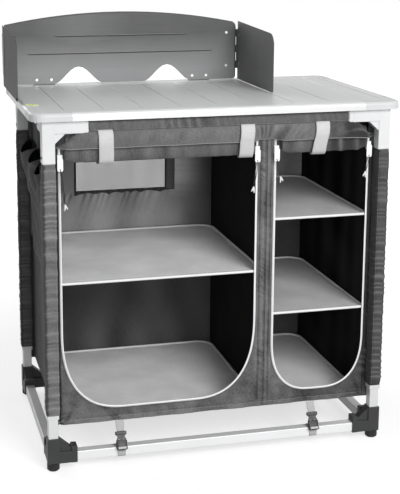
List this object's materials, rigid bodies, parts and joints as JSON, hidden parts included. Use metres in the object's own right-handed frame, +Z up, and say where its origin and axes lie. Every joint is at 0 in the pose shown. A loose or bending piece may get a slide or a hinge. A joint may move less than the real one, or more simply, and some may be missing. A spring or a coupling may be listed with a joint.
{
  "type": "camp kitchen unit",
  "caption": "Framed camp kitchen: slatted worktop with a folding windshield over a fabric cabinet with shelves, rolled-up zip doors and side pockets.",
  "frame": {"origin": "on the ground, midway between the four feet", "axes": "+Z up, the doors face -Y, +X to the right seen from the front"},
  "size_m": [0.8593, 0.5, 1.0005],
  "materials": {
    "leg_front_left": "brushed",
    "foot_front_left": "matt",
    "bottom_corner_front_left": "fine grain",
    "top_corner_front_left": "fine grain",
    "table_corner_front_left": "fine grain",
    "leg_front_right": "brushed",
    "foot_front_right": "matt",
    "bottom_corner_front_right": "fine grain",
    "top_corner_front_right": "fine grain",
    "table_corner_front_right": "fine grain",
    "leg_rear_left": "brushed",
    "foot_rear_left": "matt",
    "bottom_corner_rear_left": "fine grain",
    "top_corner_rear_left": "fine grain",
    "table_corner_rear_left": "fine grain",
    "leg_rear_right": "brushed",
    "foot_rear_right": "matt",
    "bottom_corner_rear_right": "fine grain",
    "top_corner_rear_right": "fine grain",
    "table_corner_rear_right": "fine grain",
    "bottom_rail_front": "brushed",
    "bottom_rail_rear": "brushed",
    "bottom_rail_left": "brushed",
    "bottom_rail_right": "brushed",
    "top_rail_front": "brushed",
    "top_rail_rear": "brushed",
    "top_rail_left": "brushed",
    "top_rail_right": "brushed",
    "table_rim": "satin",
    "table_slats": "satin",
    "cabinet_shell": "coated woven cloth, in shade",
    "cabinet_front": "coated woven cloth",
    "cabinet_divider": "coated woven cloth, in shade",
    "floor_board_left": "cloth over a stiff board",
    "floor_board_right": "cloth over a stiff board",
    "shelf_left": "cloth over a stiff board",
    "shelf_right_lower": "cloth over a stiff board",
    "shelf_right_upper": "cloth over a stiff board",
    "side_pocket": "coated woven cloth, in shade",
    "door_roll_left": "coated woven cloth",
    "buckle_female_left": "moulded",
    "buckle_male_left": "moulded",
    "strap_upper_left": "webbing",
    "windshield_wing_left": "satin powder coat",
    "windshield_bracket_left": "satin powder coat",
    "hinge_leaf_panel_left": "satin powder coat",
    "hinge_leaf_wing_left": "satin powder coat",
    "door_roll_right": "coated woven cloth",
    "buckle_female_right": "moulded",
    "buckle_male_right": "moulded",
    "strap_upper_right": "webbing",
    "windshield_wing_right": "satin powder coat",
    "windshield_bracket_right": "satin powder coat",
    "hinge_leaf_panel_right": "satin powder coat",
    "hinge_leaf_wing_right": "satin powder coat",
    "windshield_panel": "satin powder coat",
    "zip_slider_1": "gloss enamel",
    "zip_slider_2": "gloss enamel",
    "zip_slider_3": "gloss enamel",
    "zip_slider_4": "gloss enamel"
  },
  "bodies": {
    "stand": {"leg_front_left": "leg_front_left", "foot_front_left": "foot_front_left", "bottom_corner_front_left": "bottom_corner_front_left", "top_corner_front_left": "top_corner_front_left", "table_corner_front_left": "table_corner_front_left", "leg_front_right": "leg_front_right", "foot_front_right": "foot_front_right", "bottom_corner_front_right": "bottom_corner_front_right", "top_corner_front_right": "top_corner_front_right", "table_corner_front_right": "table_corner_front_right", "leg_rear_left": "leg_rear_left", "foot_rear_left": "foot_rear_left", "bottom_corner_rear_left": "bottom_corner_rear_left", "top_corner_rear_left": "top_corner_rear_left", "table_corner_rear_left": "table_corner_rear_left", "leg_rear_right": "leg_rear_right", "foot_rear_right": "foot_rear_right", "bottom_corner_rear_right": "bottom_corner_rear_right", "top_corner_rear_right": "top_corner_rear_right", "table_corner_rear_right": "table_corner_rear_right", "bottom_rail_front": "bottom_rail_front", "bottom_rail_rear": "bottom_rail_rear", "bottom_rail_left": "bottom_rail_left", "bottom_rail_right": "bottom_rail_right", "top_rail_front": "top_rail_front", "top_rail_rear": "top_rail_rear", "top_rail_left": "top_rail_left", "top_rail_right": "top_rail_right", "table_rim": "table_rim", "table_slats": "table_slats", "cabinet_shell": "cabinet_shell", "cabinet_front": "cabinet_front", "cabinet_divider": "cabinet_divider", "floor_board_left": "floor_board_left", "floor_board_right": "floor_board_right", "shelf_left": "shelf_left", "shelf_right_lower": "shelf_right_lower", "shelf_right_upper": "shelf_right_upper", "side_pocket": "side_pocket", "door_roll_left": "door_roll_left", "buckle_female_left": "buckle_female_left", "strap_upper_left": "strap_upper_left", "door_roll_right": "door_roll_right", "buckle_female_right": "buckle_female_right", "strap_upper_right": "strap_upper_right"},
    "windshield": {"windshield_panel": "windshield_panel", "windshield_bracket_left": "windshield_bracket_left", "windshield_bracket_right": "windshield_bracket_right", "hinge_leaf_panel_left": "hinge_leaf_panel_left", "hinge_leaf_panel_right": "hinge_leaf_panel_right"},
    "wing_left": {"windshield_wing_left": "windshield_wing_left", "hinge_leaf_wing_left": "hinge_leaf_wing_left"},
    "wing_right": {"windshield_wing_right": "windshield_wing_right", "hinge_leaf_wing_right": "hinge_leaf_wing_right"},
    "slider_1": {"zip_slider_1": "zip_slider_1"},
    "slider_2": {"zip_slider_2": "zip_slider_2"},
    "slider_3": {"zip_slider_3": "zip_slider_3"},
    "slider_4": {"zip_slider_4": "zip_slider_4"},
    "buckle_left": {"buckle_male_left": "buckle_male_left"},
    "buckle_right": {"buckle_male_right": "buckle_male_right"}
  },
  "joints": [
    {"name": "windshield_lift", "type": "slide", "parent": "stand", "child": "windshield", "axis": [0, 0, 1], "range_m": [0, 0.05]},
    {"name": "wing_left_fold", "type": "hinge", "parent": "windshield", "child": "wing_left", "pos_m": [-0.4307, 0.2185, 0.8215], "axis": [0, 0, 1], "range_deg": [-90, 90]},
    {"name": "wing_right_fold", "type": "hinge", "parent": "windshield", "child": "wing_right", "pos_m": [0.1755, 0.2185, 0.8215], "axis": [0, 0, 1], "range_deg": [-90, 90]},
    {"name": "slider_1_slide", "type": "slide", "parent": "stand", "child": "slider_1", "axis": [0, 0, -1], "range_m": [0, 0.35]},
    {"name": "slider_2_slide", "type": "slide", "parent": "stand", "child": "slider_2", "axis": [0, 0, -1], "range_m": [0, 0.35]},
    {"name": "slider_3_slide", "type": "slide", "parent": "stand", "child": "slider_3", "axis": [0, 0, -1], "range_m": [0, 0.35]},
    {"name": "slider_4_slide", "type": "slide", "parent": "stand", "child": "slider_4", "axis": [0, 0, -1], "range_m": [0, 0.35]},
    {"name": "buckle_left_release", "type": "slide", "parent": "stand", "child": "buckle_left", "axis": [0, 0.4772, 0.8788], "range_m": [0, 0.02], "deforming": ["strap_upper_left"]},
    {"name": "buckle_right_release", "type": "slide", "parent": "stand", "child": "buckle_right", "axis": [0, 0.4772, 0.8788], "range_m": [0, 0.02], "deforming": ["strap_upper_right"]}
  ]
}
